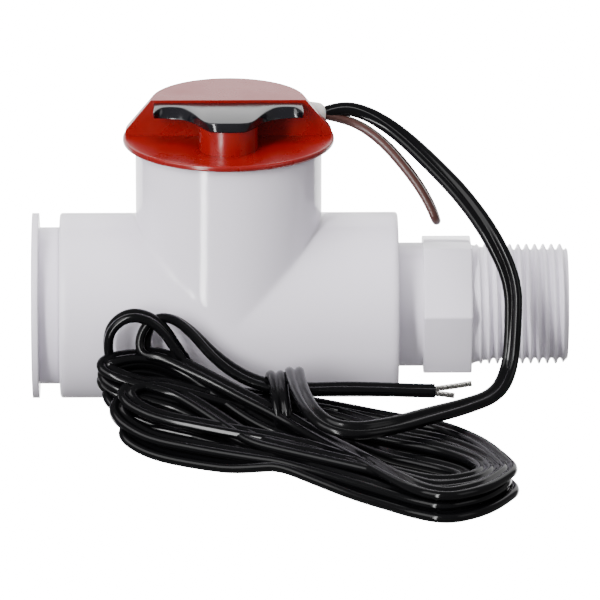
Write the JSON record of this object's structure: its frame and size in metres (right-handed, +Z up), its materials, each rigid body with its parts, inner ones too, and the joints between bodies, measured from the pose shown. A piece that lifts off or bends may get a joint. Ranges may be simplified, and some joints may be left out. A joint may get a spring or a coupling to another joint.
{
  "type": "paddle flow switch",
  "caption": "In-line plastic tee with a lift-out switch cap, a sprung paddle in the flow, a threaded outlet, a socketed inlet and a hanked twin lead.",
  "frame": {"origin": "on the surface that the tee stands on, under the middle of its length from inlet face to thread end", "axes": "+X along the run from inlet to outlet, +Z up the branch, -Y the side of the cap's grip"},
  "size_m": [0.1166, 0.1099, 0.0668],
  "materials": {
    "white_pvc": "moulded, satin gloss",
    "red_cap": "moulded, satin gloss",
    "dark_grip": "moulded, smooth",
    "pale_seal": "smooth",
    "black_lead": "smooth PVC jacket",
    "brown_wire": "smooth PVC jacket",
    "tinned_copper": "tinned strands",
    "black_ring": "matt",
    "inner_plastic": "moulded, matt",
    "paddle_plastic": "moulded, matt",
    "stainless": "drawn",
    "ferrite": "ground",
    "board": "solder mask",
    "reed_glass": "clear",
    "resin": "poured"
  },
  "bodies": {
    "tee": {"tee_body": "white_pvc", "inlet_bushing": "white_pvc", "outlet_reducer": "white_pvc", "outlet_adapter": "white_pvc"},
    "cap": {"plug_shell": "red_cap", "switch_cap": "red_cap", "grip_plate": "dark_grip", "cable_seal": "pale_seal", "upper_ring": "black_ring", "lower_ring": "black_ring", "paddle_yoke": "inner_plastic", "pivot_pin": "stainless", "pin_clips": "stainless", "circuit_board": "board", "reed_glass": "reed_glass", "reed_contacts": "tinned_copper", "splice_sleeves": "black_ring", "potting": "resin", "return_spring": "stainless", "lead_run": "black_lead", "lead_hank": "black_lead", "loose_loop": "black_lead", "lead_tail": "black_lead", "wire_ends": "tinned_copper", "jumper_loop": "brown_wire"},
    "paddle": {"paddle_arm": "paddle_plastic", "magnet": "ferrite", "paddle_blade": "paddle_plastic", "blade_rivets": "stainless"}
  },
  "joints": [
    {"name": "cap_lift", "type": "slide", "parent": "tee", "child": "cap", "axis": [0, 0, 1], "range_m": [0, 0.055]},
    {"name": "paddle_swing", "type": "hinge", "parent": "cap", "child": "paddle", "pos_m": [-0.0155, 0, 0.0319], "axis": [0, -1, 0], "range_deg": [0, 35], "stiffness_Nm_per_rad": 0.0008, "springref_deg": -14.32, "deforming": ["return_spring"]}
  ]
}
